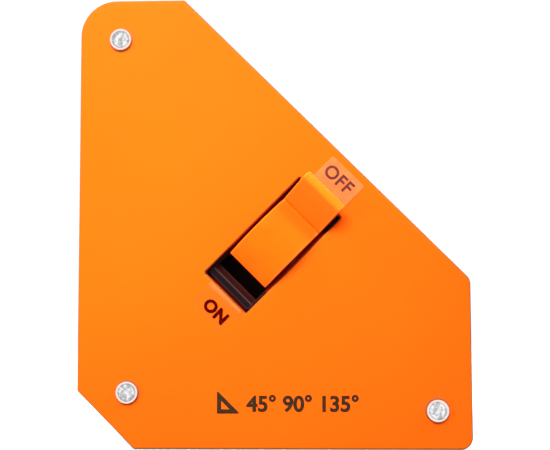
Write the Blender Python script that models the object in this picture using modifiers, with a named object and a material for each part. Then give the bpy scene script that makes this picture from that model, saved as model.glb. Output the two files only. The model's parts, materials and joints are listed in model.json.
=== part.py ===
"""Switchable magnetic welding square: two steel side plates riveted over an aluminium edge frame.

A rocker lever in the middle turns a shaft with two magnets through a quarter turn. With the magnets'
poles facing the plates the square holds steel; turned across, the pole shoes short their field out.
It stands on its bottom working face: +X to the right, -Y to the front, +Z up, in metres, with the
origin at the middle of that face.
"""

import math

import bmesh
import bpy
from mathutils import Matrix, Vector

# Outline of the square, seen from the front
WIDTH = 0.096
HEIGHT = 0.111
THICKNESS = 0.025
PLATE = 0.0018
TOP_EDGE = 0.026
RIGHT_EDGE = 0.041
WELD_CHAMFER = 0.014
TOP_LEFT_RADIUS = 0.009
RIGHT_RADIUS = 0.003
SMALL_RADIUS = 0.0008

# Rotor axis: it crosses the plates' middle plane here, parallel to the long sloping edge
PIVOT_X = 0.0005
PIVOT_Z = 0.050
AXIS_TURN = math.radians(45)
OFF_LEAN = math.radians(45)

# Slot in the front plate and the lever that rocks in it
SLOT_LENGTH = 0.033
SLOT_WIDTH = 0.0142
SLOT_SHIFT = -0.00075
SLOT_CORNER = 0.0003
LEVER_WIDTH = 0.0122
DRUM_RADIUS = 0.0155
DRUM_HALF_ANGLE = math.radians(83.3)
DRUM_EDGE_RADIUS = 0.0004
HUB_RADIUS = 0.0056
HUB_START = math.radians(112)
TAB_TIP = 0.0248
TAB_ROOT_THICKNESS = 0.0043
TAB_TIP_THICKNESS = 0.0032
TAB_ROOT_RADIUS = 0.0008
TAB_TIP_RADIUS = 0.0011

# Rotor parts, as distances from the lever's middle along the axis
SHAFT_RADIUS = 0.0025
SHAFT_HALF_LENGTH = 0.046
SHAFT_CHAMFER = 0.0004
SHAFT_WAY = 0.0005
MAGNET_RADIUS = 0.0075
MAGNET_START = 0.010
MAGNET_LENGTH = 0.026
POLE_START = 0.010
POLE_LENGTH = 0.027
POLE_HALF_WIDTH = 0.013
POLE_BORE_RADIUS = 0.0079
DIVIDER_THICKNESS = 0.0015
DIVIDER_WIDTH = 0.0047
BLOCK_START = 0.0374
BLOCK_LENGTH = 0.006
BLOCK_HALF_WIDTH = 0.0075
BLOCK_CORNER = 0.001
BUSH_RADIUS = 0.004
BUSH_FLANGE_RADIUS = 0.005
BUSH_FLANGE = 0.0008
WASHER_START = 0.0087
WASHER_THICKNESS = 0.001
WASHER_RADIUS = 0.005
CLIP_START = 0.04385
CLIP_THICKNESS = 0.0007
CLIP_RADIUS = 0.0042
CLIP_MOUTH = math.radians(50)
GROOVE_RADIUS = 0.0018
PIN_RADIUS = 0.0009
PIN_HALF_LENGTH = 0.0048
PIN_HOLE_LENGTH = 0.0125

# Edge frame, rivets and their distance posts
FRAME_WALL = 0.004
LUG_RADIUS = 0.0068
POST_RADIUS = 0.0037
RIVET_RADIUS = 0.002
RIVET_FRONT_HEAD = 0.00275
RIVET_BACK_HEAD = 0.0034
# (radius, height over the plate) of a rivet's dimpled front and its rolled rim, from the middle out
RIVET_FRONT_PROFILE = [
    (0.0, 0.00030),
    (0.0009, 0.00016),
    (0.0017, 0.00040),
    (0.0021, 0.00070),
    (0.0024, 0.00066),
    (RIVET_FRONT_HEAD, 0.00030),
    (RIVET_FRONT_HEAD - 0.00005, 0.0),
]
# (radius, height over the plate) of its domed back head, from the rim in
RIVET_BACK_PROFILE = [
    (RIVET_BACK_HEAD, 0.0),
    (RIVET_BACK_HEAD - 0.0003, 0.00035),
    (RIVET_BACK_HEAD * 0.6, 0.00085),
    (0.0, 0.00105),
]
RIVETS = {
    "top": (-0.0379, 0.1010),
    "corner": (-0.0357, 0.0137),
    "right": (0.0396, 0.0094),
}

# Plastic housing round the lever
HOUSING_HALF_LENGTH = 0.0182
HOUSING_HALF_WIDTH = 0.0085
CAVITY_HALF_LENGTH = 0.0162
CAVITY_HALF_WIDTH = 0.0065
RIM_TOP_HALF_LENGTH = 0.01485
RIM_FOOT_HALF_LENGTH = 0.01325
RIM_DEPTH = 0.00175
HOUSING_FLOOR = 0.0005

# Film labels on the front plate, along the slot's line
LABEL_THICKNESS = 0.00012
LABEL_CORNER = 0.0006
OFF_LABEL = (0.0183, 0.0253, -0.00495, 0.0059)
ON_LABEL = (-0.0250, -0.0176, -0.0044, 0.0063)

GAP = 0.0003
RUNNING_GAP = 0.00006
CIRCLE_STEPS = 28
SCREW_STEPS = 28
HALF = THICKNESS / 2
INNER = HALF - PLATE - GAP

POWDER_ORANGE = ((0.90, 0.20, 0.015), 0.38, 0.0)
PLASTIC_ORANGE = ((0.92, 0.22, 0.02), 0.32, 0.0)
NYLON_BLACK = ((0.022, 0.022, 0.025), 0.55, 0.0)
ALUMINIUM = ((0.62, 0.63, 0.64), 0.38, 1.0)
BRIGHT_STEEL = ((0.78, 0.78, 0.78), 0.22, 1.0)
PLAIN_STEEL = ((0.42, 0.42, 0.43), 0.42, 1.0)
NICKEL = ((0.70, 0.69, 0.66), 0.18, 1.0)
BRASS = ((0.72, 0.50, 0.20), 0.30, 1.0)
BRONZE = ((0.55, 0.33, 0.16), 0.45, 1.0)
CLEAR_FILM = ((0.95, 0.42, 0.20), 0.25, 0.0)


def clear_scene():
    """Remove every object of the scene that is open."""
    for obj in list(bpy.data.objects):
        bpy.data.objects.remove(obj)


def new_collection(name):
    """A collection linked to the scene."""
    collection = bpy.data.collections.new(name)
    bpy.context.scene.collection.children.link(collection)
    return collection


def new_empty(name, location, rotation):
    """An empty that carries the parts placed in its frame."""
    empty = bpy.data.objects.new(name, None)
    empty.location = location
    empty.rotation_euler = rotation
    PARTS.objects.link(empty)
    return empty


def finish_material(name, look):
    """The Principled material of that name, made once."""
    material = bpy.data.materials.get(name)
    if material is None:
        material = bpy.data.materials.new(name)
        material.use_nodes = True
        shader = material.node_tree.nodes["Principled BSDF"]
        color, roughness, metallic = look
        shader.inputs["Base Color"].default_value = (*color, 1.0)
        shader.inputs["Roughness"].default_value = roughness
        shader.inputs["Metallic"].default_value = metallic
    return material


def circle(radius, center=(0.0, 0.0), steps=CIRCLE_STEPS):
    """Points of a circle."""
    turns = [2 * math.pi * i / steps for i in range(steps)]
    return [(center[0] + radius * math.cos(t), center[1] + radius * math.sin(t)) for t in turns]


def arc(radius, start, end, steps):
    """Points of an arc about the origin, where angle 0 is along +Y and grows towards +X."""
    angles = [start + (end - start) * i / steps for i in range(steps + 1)]
    return [(radius * math.sin(a), radius * math.cos(a)) for a in angles]


def rounded(corners, steps=5):
    """Outline through (x, y, radius) corners, each rounded to its own radius."""
    outline = []
    for i, (x, y, radius) in enumerate(corners):
        here = Vector((x, y))
        before = (Vector(corners[i - 1][:2]) - here).normalized()
        after = (Vector(corners[(i + 1) % len(corners)][:2]) - here).normalized()
        if radius == 0:
            outline.append((x, y))
            continue
        half_angle = before.angle(after) / 2
        center = here + (before + after).normalized() * radius / math.sin(half_angle)
        reach = radius / math.tan(half_angle)
        first = (here + before * reach - center).normalized()
        last = (here + after * reach - center).normalized()
        for k in range(steps + 1):
            outline.append(tuple(center + first.slerp(last, k / steps) * radius))
    return outline


def plate_corners():
    """Corners of the side plates with their radii, anticlockwise from the chamfer's foot."""
    left, right = -WIDTH / 2, WIDTH / 2
    return [
        (left + WELD_CHAMFER, 0.0, SMALL_RADIUS),
        (right, 0.0, RIGHT_RADIUS),
        (right, RIGHT_EDGE, RIGHT_RADIUS),
        (left + TOP_EDGE, HEIGHT, SMALL_RADIUS),
        (left, HEIGHT, TOP_LEFT_RADIUS),
        (left, WELD_CHAMFER, SMALL_RADIUS),
    ]


def inset(corners, distance):
    """The same corners with every side moved inwards by distance."""
    moved = []
    for i, (x, y, radius) in enumerate(corners):
        here = Vector((x, y))
        to_here = (here - Vector(corners[i - 1][:2])).normalized()
        onwards = (Vector(corners[(i + 1) % len(corners)][:2]) - here).normalized()
        normal_in = Vector((-to_here.y, to_here.x))
        normal_out = Vector((-onwards.y, onwards.x))
        shift = (normal_in + normal_out) * distance / (1 + normal_in.dot(normal_out))
        moved.append((x + shift.x, y + shift.y, max(radius - distance, SMALL_RADIUS)))
    return moved


def extruded(name, outlines, depth, look, parent, location=(0, 0, 0), rotation=(0, 0, 0)):
    """A flat outline with holes, extruded to depth about its own plane."""
    curve = bpy.data.curves.new(name, "CURVE")
    curve.dimensions = "2D"
    curve.fill_mode = "BOTH"
    curve.extrude = depth / 2
    for outline in outlines:
        spline = curve.splines.new("POLY")
        spline.points.add(len(outline) - 1)
        for point, (x, y) in zip(spline.points, outline):
            point.co = (x, y, 0, 1)
        spline.use_cyclic_u = True
    curve.materials.append(finish_material(*look))
    return place(bpy.data.objects.new(name, curve), parent, location, rotation)


def turned(name, profile, look, parent, location=(0, 0, 0), rotation=(0, 0, 0), steps=SCREW_STEPS):
    """A profile of (radius, height) points turned about its local Z axis; it runs down the outer side."""
    mesh = bpy.data.meshes.new(name)
    points = [(radius, 0, height) for radius, height in profile]
    closed = profile[0][0] > 0
    edges = [(i, i + 1) for i in range(len(points) - 1)]
    if closed:
        edges.append((len(points) - 1, 0))
    mesh.from_pydata(points, edges, [])
    mesh.materials.append(finish_material(*look))
    obj = place(bpy.data.objects.new(name, mesh), parent, location, rotation)
    screw = obj.modifiers.new("Screw", "SCREW")
    screw.steps = steps
    screw.render_steps = steps
    screw.use_merge_vertices = True
    screw.merge_threshold = 0.000001
    return obj


def place(obj, parent, location, rotation):
    """Link an object among the parts, in its parent's frame."""
    PARTS.objects.link(obj)
    obj.parent = parent
    obj.location = location
    obj.rotation_euler = rotation
    return obj


def as_mesh(obj):
    """Replace a curve or a modified object by the mesh that it evaluates to."""
    bpy.context.view_layer.update()
    graph = bpy.context.evaluated_depsgraph_get()
    mesh = bpy.data.meshes.new_from_object(obj.evaluated_get(graph))
    name, world = obj.name, obj.matrix_world.copy()
    bpy.data.objects.remove(obj)
    welder = bmesh.new()
    welder.from_mesh(mesh)
    bmesh.ops.remove_doubles(welder, verts=welder.verts, dist=0.0000005)
    bmesh.ops.recalc_face_normals(welder, faces=welder.faces)
    welder.to_mesh(mesh)
    welder.free()
    made = bpy.data.objects.new(name, mesh)
    PARTS.objects.link(made)
    made.matrix_world = world
    return made


def as_cutter(obj):
    """Turn an object into a helper that Booleans use and nothing shows."""
    obj.hide_render = True
    obj.display_type = "WIRE"
    for collection in list(obj.users_collection):
        collection.objects.unlink(obj)
    CUTTERS.objects.link(obj)
    return obj


def boolean(obj, other, operation):
    """Join or cut obj with another mesh by an exact Boolean."""
    modifier = obj.modifiers.new(operation.title(), "BOOLEAN")
    modifier.operation = operation
    modifier.solver = "EXACT"
    modifier.object = other


def cylinder_cutter(name, radius, depth, parent, location, rotation=(0, 0, 0)):
    """A round cutter along its local Z axis."""
    cutter = extruded(name, [circle(radius)], depth, ("cutter", NYLON_BLACK), parent, location, rotation)
    return as_cutter(as_mesh(cutter))


def make_plates():
    """The two steel side plates; only the front one has the lever's slot."""
    outline = rounded(plate_corners(), 6)
    holes = [circle(RIVET_RADIUS + GAP, spot) for spot in RIVETS.values()]
    along = Vector((math.cos(AXIS_TURN), math.sin(AXIS_TURN)))
    across = Vector((along.y, -along.x))
    center = Vector((PIVOT_X, PIVOT_Z)) + along * SLOT_SHIFT
    corners = [(-1, -1), (-1, 1), (1, 1), (1, -1)]
    slot = []
    for i, j in corners:
        corner = center + along * (i * SLOT_LENGTH / 2) + across * (j * SLOT_WIDTH / 2)
        slot.append((corner.x, corner.y, SLOT_CORNER))
    look = ("powder_orange", POWDER_ORANGE)
    reach = HALF - PLATE / 2
    extruded("front_plate", [outline, rounded(slot, 2), *holes], PLATE, look, BODY, (0, 0, reach))
    extruded("back_plate", [outline, *holes], PLATE, look, BODY, (0, 0, -reach))


def make_edge_frame():
    """Aluminium frame that closes the edges, with a lug for each rivet's post."""
    look = ("cast_aluminium", ALUMINIUM)
    outside = rounded(plate_corners(), 6)
    frame = as_mesh(extruded("edge_frame", [outside], 2 * INNER, look, BODY))
    inside = rounded(inset(plate_corners(), FRAME_WALL), 4)
    pocket = as_cutter(as_mesh(extruded("pocket", [inside], THICKNESS, look, BODY)))
    for name, spot in RIVETS.items():
        lug = cylinder_cutter("lug_" + name, LUG_RADIUS, 2 * THICKNESS, BODY, (*spot, 0))
        boolean(pocket, lug, "DIFFERENCE")
    boolean(frame, pocket, "DIFFERENCE")
    for name, spot in RIVETS.items():
        hole = cylinder_cutter("lug_hole_" + name, POST_RADIUS + GAP, THICKNESS, BODY, (*spot, 0))
        boolean(frame, hole, "DIFFERENCE")


def make_rivets():
    """Steel rivets with a rolled front rim and a domed back head, each in a distance post."""
    for name, spot in RIVETS.items():
        post = [circle(POST_RADIUS), circle(RIVET_RADIUS + GAP)]
        extruded("post_" + name, post, 2 * INNER, ("plain_steel", PLAIN_STEEL), BODY, (*spot, 0))
        front, back = HALF + GAP, -HALF - GAP
        profile = [(radius, front + height) for radius, height in RIVET_FRONT_PROFILE]
        profile += [(RIVET_RADIUS, front), (RIVET_RADIUS, back)]
        profile += [(radius, back - height) for radius, height in RIVET_BACK_PROFILE]
        turned("rivet_" + name, profile, ("bright_steel", BRIGHT_STEEL), BODY, (*spot, 0))


def lever_outline():
    """Side view of the rocker: a drum sector and hub about the pivot, with the thumb tab along +Y."""
    root, tip = TAB_ROOT_THICKNESS / 2, TAB_TIP_THICKNESS / 2
    root_angle = math.asin(root / DRUM_RADIUS)
    drum = arc(DRUM_RADIUS, -DRUM_HALF_ANGLE, -root_angle, 11)
    left = [(x, y, 0.0) for x, y in drum[:-1]]
    left[0] = (*drum[0], DRUM_EDGE_RADIUS)
    left.append((*drum[-1], TAB_ROOT_RADIUS))
    left.append((-tip, TAB_TIP, TAB_TIP_RADIUS))
    right = [(-x, y, radius) for x, y, radius in reversed(left)]
    hub = arc(HUB_RADIUS, HUB_START, 2 * math.pi - HUB_START, 10)
    return rounded(left + right + [(x, y, 0.0) for x, y in hub], 4)


def make_lever():
    """The orange rocker, pinned to the shaft by a cross pin."""
    outlines = [lever_outline(), circle(SHAFT_RADIUS + RUNNING_GAP)]
    turn = (0, 0, -OFF_LEAN)
    look = ("plastic_orange", PLASTIC_ORANGE)
    lever = as_mesh(extruded("switch_lever", outlines, LEVER_WIDTH, look, ROTOR, rotation=turn))
    across = Matrix.Rotation(-OFF_LEAN, 4, "Z") @ Matrix.Rotation(math.radians(-90), 4, "X")
    turned_across = across.to_euler()
    hole = cylinder_cutter("pin_hole", PIN_RADIUS + GAP, PIN_HOLE_LENGTH, ROTOR, (0, 0, 0), turned_across)
    boolean(lever, hole, "DIFFERENCE")
    pin = [circle(PIN_RADIUS, steps=16)]
    steel = ("bright_steel", BRIGHT_STEEL)
    extruded("cross_pin", pin, 2 * PIN_HALF_LENGTH, steel, ROTOR, rotation=turned_across)
    return hole


def make_shaft(pin_hole):
    """Shaft with chamfered ends and a groove near each end for its clip."""
    end = SHAFT_HALF_LENGTH
    groove_in = CLIP_START - GAP
    groove_out = CLIP_START + CLIP_THICKNESS + GAP
    upper = [
        (0.0, end),
        (SHAFT_RADIUS - SHAFT_CHAMFER, end),
        (SHAFT_RADIUS, end - SHAFT_CHAMFER),
        (SHAFT_RADIUS, groove_out),
        (GROOVE_RADIUS, groove_out),
        (GROOVE_RADIUS, groove_in),
        (SHAFT_RADIUS, groove_in),
    ]
    lower = [(radius, -height) for radius, height in reversed(upper)]
    shaft = turned("rotor_shaft", upper + lower, ("plain_steel", PLAIN_STEEL), ROTOR)
    boolean(as_mesh(shaft), pin_hole, "DIFFERENCE")


def make_rotor_side(side, direction):
    """What sits on the shaft or round it on one side of the lever; direction is along the axis."""

    def middle(start, length):
        return (0, 0, direction * (start + length / 2))

    bore = SHAFT_RADIUS + RUNNING_GAP
    magnet = [circle(MAGNET_RADIUS), circle(bore)]
    at = middle(MAGNET_START, MAGNET_LENGTH)
    extruded("magnet_" + side, magnet, MAGNET_LENGTH, ("nickel", NICKEL), ROTOR, at)

    washer = [circle(WASHER_RADIUS), circle(bore)]
    at = middle(WASHER_START, WASHER_THICKNESS)
    extruded("thrust_washer_" + side, washer, WASHER_THICKNESS, ("brass", BRASS), ROTOR, at)

    clip = arc(CLIP_RADIUS, CLIP_MOUTH / 2, 2 * math.pi - CLIP_MOUTH / 2, 20)
    clip += arc(GROOVE_RADIUS + GAP, 2 * math.pi - CLIP_MOUTH, CLIP_MOUTH, 16)
    at = middle(CLIP_START, CLIP_THICKNESS)
    extruded("shaft_clip_" + side, [clip], CLIP_THICKNESS, ("bright_steel", BRIGHT_STEEL), ROTOR, at)

    block_corners = [(i * BLOCK_HALF_WIDTH, j * INNER, BLOCK_CORNER) for i, j in SQUARE]
    block = [rounded(block_corners, 3), circle(BUSH_RADIUS + GAP)]
    at = middle(BLOCK_START, BLOCK_LENGTH)
    extruded("bearing_block_" + side, block, BLOCK_LENGTH, ("cast_aluminium", ALUMINIUM), ROTOR, at)

    flange_end = BLOCK_START - GAP
    flange_start = flange_end - BUSH_FLANGE
    bush = [
        (bore, BLOCK_START + BLOCK_LENGTH),
        (BUSH_RADIUS, BLOCK_START + BLOCK_LENGTH),
        (BUSH_RADIUS, flange_end),
        (BUSH_FLANGE_RADIUS, flange_end),
        (BUSH_FLANGE_RADIUS, flange_start),
        (bore, flange_start),
    ]
    flip = (0, 0, 0) if direction > 0 else (math.pi, 0, 0)
    turned("shaft_bush_" + side, bush, ("bronze", BRONZE), ROTOR, rotation=flip)


def make_poles(side, direction):
    """Steel pole shoes before and behind one magnet, kept apart by two brass dividers."""
    at = (0, 0, direction * (POLE_START + POLE_LENGTH / 2))
    low = DIVIDER_THICKNESS / 2 + GAP
    lip = math.acos(low / POLE_BORE_RADIUS)
    side_at = POLE_HALF_WIDTH
    profile = [(side_at, low), (side_at, INNER), (-side_at, INNER), (-side_at, low)]
    profile += arc(POLE_BORE_RADIUS, -lip, lip, 18)
    steel = ("plain_steel", PLAIN_STEEL)
    extruded("front_pole_" + side, [profile], POLE_LENGTH, steel, ROTOR, at)
    extruded("back_pole_" + side, [profile], POLE_LENGTH, steel, ROTOR, at, (0, 0, math.pi))
    for name, sign in (("off", 1), ("on", -1)):
        corners = [(i * DIVIDER_WIDTH / 2, j * DIVIDER_THICKNESS / 2) for i, j in SQUARE]
        spot = (sign * (POLE_HALF_WIDTH - DIVIDER_WIDTH / 2), 0, at[2])
        label = f"divider_{side}_{name}_side"
        extruded(label, [corners], POLE_LENGTH, ("brass", BRASS), ROTOR, spot)


def make_housing():
    """Black housing round the lever, with a thin floor and a sloped rim under each end of the slot."""
    look = ("black_nylon", NYLON_BLACK)
    corners = [(i * HOUSING_HALF_LENGTH, j * INNER) for i, j in SQUARE]
    housing = as_mesh(extruded("switch_housing", [corners], 2 * HOUSING_HALF_WIDTH, look, ROTOR))
    rim_foot = INNER - RIM_DEPTH
    beyond = THICKNESS / 2
    half = [
        (CAVITY_HALF_LENGTH, -INNER + HOUSING_FLOOR),
        (CAVITY_HALF_LENGTH, rim_foot),
        (RIM_FOOT_HALF_LENGTH, rim_foot),
        (RIM_TOP_HALF_LENGTH, INNER),
        (RIM_TOP_HALF_LENGTH, beyond),
    ]
    cavity = half + [(-x, y) for x, y in reversed(half)]
    cutter = extruded("cavity", [cavity], 2 * CAVITY_HALF_WIDTH, look, ROTOR)
    boolean(housing, as_cutter(as_mesh(cutter)), "DIFFERENCE")
    through = 4 * HOUSING_HALF_WIDTH
    shaft_way = cylinder_cutter("shaft_way", SHAFT_RADIUS + SHAFT_WAY, through, ROTOR, (0, 0, 0))
    boolean(housing, shaft_way, "DIFFERENCE")


def make_label(name, spans):
    """A clear film label that lies on the front plate."""
    low_x, high_x, low_z, high_z = spans
    half_x, half_z = (high_x - low_x) / 2, (high_z - low_z) / 2
    corners = [(i * half_x, j * half_z, LABEL_CORNER) for i, j in SQUARE]
    lift = HALF + GAP + LABEL_THICKNESS / 2
    at = ((low_x + high_x) / 2, lift, (low_z + high_z) / 2)
    flat = (math.radians(-90), 0, 0)
    look = ("clear_film", CLEAR_FILM)
    extruded(name, [rounded(corners, 3)], LABEL_THICKNESS, look, ROTOR, at, flat)


def make_square():
    """Make every part of the welding square."""
    make_plates()
    make_edge_frame()
    make_rivets()
    make_housing()
    pin_hole = make_lever()
    make_shaft(pin_hole)
    for side, direction in (("upper", -1), ("lower", 1)):
        make_rotor_side(side, direction)
        make_poles(side, direction)
    make_label("off_label", OFF_LABEL)
    make_label("on_label", ON_LABEL)


clear_scene()
PARTS = new_collection("welding_magnet_holder")
CUTTERS = new_collection("cutters")
SQUARE = [(-1, -1), (1, -1), (1, 1), (-1, 1)]
UPRIGHT = math.radians(90)
# In the plates' frame X runs right, Y up and Z to the front
BODY = new_empty("body_frame", (0, 0, 0), (UPRIGHT, 0, 0))
# In the rotor's frame X runs along the slot to its OFF end and Y to the front,
# and Z runs along the shaft, down to the right
TO_ROTOR = Matrix(((1, 0, 1), (0, -math.sqrt(2), 0), (1, 0, -1))) * math.sqrt(0.5)
ROTOR = new_empty("rotor_frame", (PIVOT_X, 0, PIVOT_Z), TO_ROTOR.to_euler())
make_square()
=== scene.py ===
"""Looks of the switchable magnetic welding square.

Powder-coated plates, cast edge frame, rocker lever and its housing, rivets, labels, print and studio.
Lengths are in metres.
"""

import json
import math

import bmesh
import bpy
from mathutils import Matrix, Vector, noise
from mathutils.geometry import tessellate_polygon


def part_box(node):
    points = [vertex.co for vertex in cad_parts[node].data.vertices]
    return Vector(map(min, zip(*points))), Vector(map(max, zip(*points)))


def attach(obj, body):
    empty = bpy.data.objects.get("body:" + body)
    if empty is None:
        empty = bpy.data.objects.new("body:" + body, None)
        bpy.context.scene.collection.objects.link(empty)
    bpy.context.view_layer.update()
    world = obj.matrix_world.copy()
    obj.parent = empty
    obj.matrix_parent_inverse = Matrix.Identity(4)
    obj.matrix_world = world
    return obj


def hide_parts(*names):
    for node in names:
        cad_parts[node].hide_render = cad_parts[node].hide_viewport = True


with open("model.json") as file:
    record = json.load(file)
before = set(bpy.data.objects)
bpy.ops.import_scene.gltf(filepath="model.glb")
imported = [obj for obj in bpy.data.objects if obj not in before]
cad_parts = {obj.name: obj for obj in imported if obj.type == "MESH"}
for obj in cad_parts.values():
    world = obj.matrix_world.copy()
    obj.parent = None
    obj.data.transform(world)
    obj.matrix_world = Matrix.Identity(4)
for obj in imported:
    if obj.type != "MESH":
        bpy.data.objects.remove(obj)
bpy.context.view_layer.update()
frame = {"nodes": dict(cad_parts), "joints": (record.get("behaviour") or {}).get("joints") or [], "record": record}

# Outline of the square; its size comes from the frame
PLATE_LOW, PLATE_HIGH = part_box("front_plate")
BACK_LOW, BACK_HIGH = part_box("back_plate")
RING_LOW, RING_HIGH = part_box("edge_frame")
TOP_EDGE = 0.026
RIGHT_EDGE = 0.041
WELD_CHAMFER = 0.014
TOP_LEFT_RADIUS = 0.009
RIGHT_RADIUS = 0.003
SMALL_RADIUS = 0.0008
RIVET_BORE = 0.0023
COAT_EDGE = 0.0005
FRAME_WALL = 0.004
FRAME_EDGE = 0.00025

# The lever's hinge, and a frame on it: X along the slot to OFF, Y to the front, Z along the shaft
JOINT = frame["joints"][0]
PIVOT = Vector(JOINT["pos_m"])
SHAFT_LINE = Vector(JOINT["axis"]).normalized()
FRONT = Vector((0, -1, 0))
ALONG = FRONT.cross(SHAFT_LINE)
ROTOR = Matrix.Translation(PIVOT) @ Matrix((ALONG, FRONT, SHAFT_LINE)).transposed().to_4x4()
ROTOR_BACK = ROTOR.inverted()
# At rest the tab lies halfway between the slot and the front: its own direction, and the one across it to OFF
TAB_LINE = (ALONG + FRONT).normalized()
TAB_CROSS = (ALONG - FRONT).normalized()

SLOT_LENGTH = 0.033
SLOT_WIDTH = 0.0142
SLOT_SHIFT = -0.00075
SLOT_CORNER = 0.00035
LEVER_WIDTH = 0.0122
OFF_LEAN = math.radians(45)
DRUM_RADIUS = 0.0155
DRUM_HALF_ANGLE = math.radians(83.3)
HUB_RADIUS = 0.0056
TAB_TIP = 0.0248
TAB_ROOT_THICKNESS = 0.0043
TAB_TIP_THICKNESS = 0.0032
TAB_TIP_RADIUS = 0.0011
# Distances from the pivot along the tab where the painted light on the tab and the painted highlight on its tip
# come in
TAB_PAINTED_LIGHT_IN = (0.0157, 0.0161)
TIP_PAINTED_HIGHLIGHT_IN = (0.0210, TAB_TIP - 0.0004)
# The band of painted shade on the drum: distance behind the tab's middle, half width and fade, and where it comes
# in
CREASE_PAINTED_SHADE = (-0.0042, 0.0008, 0.0010)
CREASE_PAINTED_SHADE_IN = (0.0100, 0.0130)
DRUM_END_RADIUS = 0.0004
HUB_ARC = (math.radians(112), math.radians(248))
LEVER_EDGE = 0.0003
CREASE = 0.00020
SHAFT_RADIUS = 0.0025

HOUSING_HALF_WIDTH = 0.0085
CAVITY_HALF_LENGTH = 0.0162
CAVITY_HALF_WIDTH = 0.0065
RIM_TOP_HALF_LENGTH = 0.01485
RIM_FOOT_HALF_LENGTH = 0.01325
RIM_DEPTH = 0.00175
HOUSING_FLOOR = 0.0005
HOUSING_EDGE = 0.0002
CUT_EDGE = 0.00007
LIP_WIDTH = 0.00024
LIP_END = 0.0007
LIP_DEPTH = 0.0009
LIP_CORNER = 0.0004
GROOVE_WALL = 0.0006
GROOVE_REACH = 0.0003
SHAFT_WAY_RADIUS = SHAFT_RADIUS + 0.0005
RUNNING_GAP = 0.00006
# Painted highlights on the housing's ridges: distance from the pivot along the slot, half width, share
RIDGE_HIGHLIGHTS = ((RIM_TOP_HALF_LENGTH, 0.00016, 0.9), (0.0164, 0.00008, 0.6), (0.0136, 0.00008, 0.4))
# Heights over the pivot where the housing's front begins, and how far along the slot the drum covers it
HOUSING_FRONT_IN = (0.0075, 0.0085)
DRUM_COVER = (0.0105, 0.0095)

RIVETS = ("rivet_top", "rivet_corner", "rivet_right")
# (share of the rim's radius, depth below its crown) from a rivet's middle out
RIVET_PROFILE = (
    (0.0, 0.00036), (0.12, 0.00037), (0.26, 0.00040), (0.40, 0.00044), (0.52, 0.00049), (0.62, 0.00054),
    (0.69, 0.00056), (0.74, 0.00048), (0.77, 0.00030), (0.80, 0.00013), (0.84, 0.00003), (0.88, 0.0),
    (0.92, 0.00004), (0.96, 0.00015), (0.985, 0.00028), (1.0, 0.00044), (0.995, 0.00056), (0.97, 0.00064),
)
RIVET_FOOT = 0.94
RIVET_SHANK = 0.002
RIVET_LIFT = 0.00002
RIVET_DOME_EDGE = 0.0001
DIMPLE_SHARE = 0.72
DENT_DEPTH = 0.00016
DENT_SCALE = 1100
# What sets the dents of one rivet apart from the next one's
DENT_STEP = Vector((7.3, 0, 3.1))
# Radii between which the painted shade in a rivet's groove comes in and goes out, and its bright rim comes in
RIVET_GROOVE_SHADE_IN = (0.00165, 0.0019)
RIVET_GROOVE_SHADE_OUT = (0.0020, 0.00225)
RIVET_RIM_IN = (0.0020, 0.0023)
# How far past the rim the painted shadow ring on the plate begins and ends to fade
RIVET_SHADOW_FADE = (0.0001, 0.0004)

# Label films and print on the front plate
LABEL_LIFT = 0.00003
LABEL_THICKNESS = 0.0001
LABEL_CORNER = 0.0006
INK_LIFT = 0.00002
INK_THICKNESS = 0.00003
FIGURES_LEFT = -0.0137
FIGURES_BOTTOM = 0.0086
FIGURES_MIDDLE = 0.0072
FIGURES_HEIGHT = 0.0043
FIGURES_SIZE = 0.0052
FIGURES_WEIGHT = 0.00018
SET_SQUARE_SIDE = 0.0056
SET_SQUARE_STROKE = 0.00105
SET_SQUARE_CORNER = 0.0002
# Paler wedge of the ON film: its edge, start and end across the slot, width, cover
ON_STRIP = (-0.0176, -0.0044, 0.0063, 0.0016, 0.75)
# Words: place along and across the slot, size, weight of the strokes, spacing
LETTERING = {
    "OFF": (0.0220, 0.0001, 0.0045, 0.00013, 1.08),
    "ON": (-0.0222, 0.0015, 0.0041, 0.00021, 1.1),
}

# Strength of the world in diffuse light and in reflections; the camera sees it at 1
WORLD_FILL = 0.35
WORLD_GLOSS = 0.95
# The studio floor's half width, front edge, back wall, wall's height, bend, and how far it lies below
FLOOR_REACH = 3.0
FLOOR_FRONT = -3.0
FLOOR_BACK = 1.4
FLOOR_TOP = 3.0
FLOOR_BEND = 0.5
FLOOR_DROP = 0.0002
MIDDLE = (0, 0, 0.05)
UPPER_LEFT = (-0.042, 0, 0.084)
# Name, place, target, size, power, full angle of the beam in degrees
LIGHTS = (
    ("key_left", (-0.13, -0.28, 0.30), UPPER_LEFT, (0.24, 0.16), 0.205, 40),
    ("key_right", (0.01, -0.31, 0.30), UPPER_LEFT, (0.24, 0.16), 0.205, 40),
    ("left_light", (-0.26, -0.10, 0.30), MIDDLE, (0.10, 0.20), 0.06, 60),
    ("lower_left_light", (-0.30, -0.20, 0.03), MIDDLE, (0.10, 0.10), 0.09, 60),
    ("upper_right_light", (0.26, -0.10, 0.28), MIDDLE, (0.12, 0.12), 0.09, 60),
    ("backdrop_left", (-0.9, 0.7, 0.9), (-0.1, 1.4, 0.3), (0.8, 0.8), 8.0, 180),
    ("backdrop_right", (0.9, 0.7, 0.9), (0.1, 1.4, 0.3), (0.8, 0.8), 8.0, 180),
    ("back_light", (0.15, 0.50, 0.40), MIDDLE, (0.4, 0.4), 0.9, 90),
)

# Fitted to the plate's outline in the photograph
CAMERA_PLACE = (0.00868, -0.24527, 0.03790)
CAMERA_YAW = math.radians(2.005)
CAMERA_PITCH = math.radians(4.047)
CAMERA_ROLL = math.radians(-0.159)
CAMERA_LENS = 62.27


# ---------------------------------------------------------------- outlines

def circle(radius, center=(0.0, 0.0), steps=64):
    """Points of a circle."""
    turns = [2 * math.pi * i / steps for i in range(steps)]
    return [(center[0] + radius * math.cos(t), center[1] + radius * math.sin(t)) for t in turns]


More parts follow.
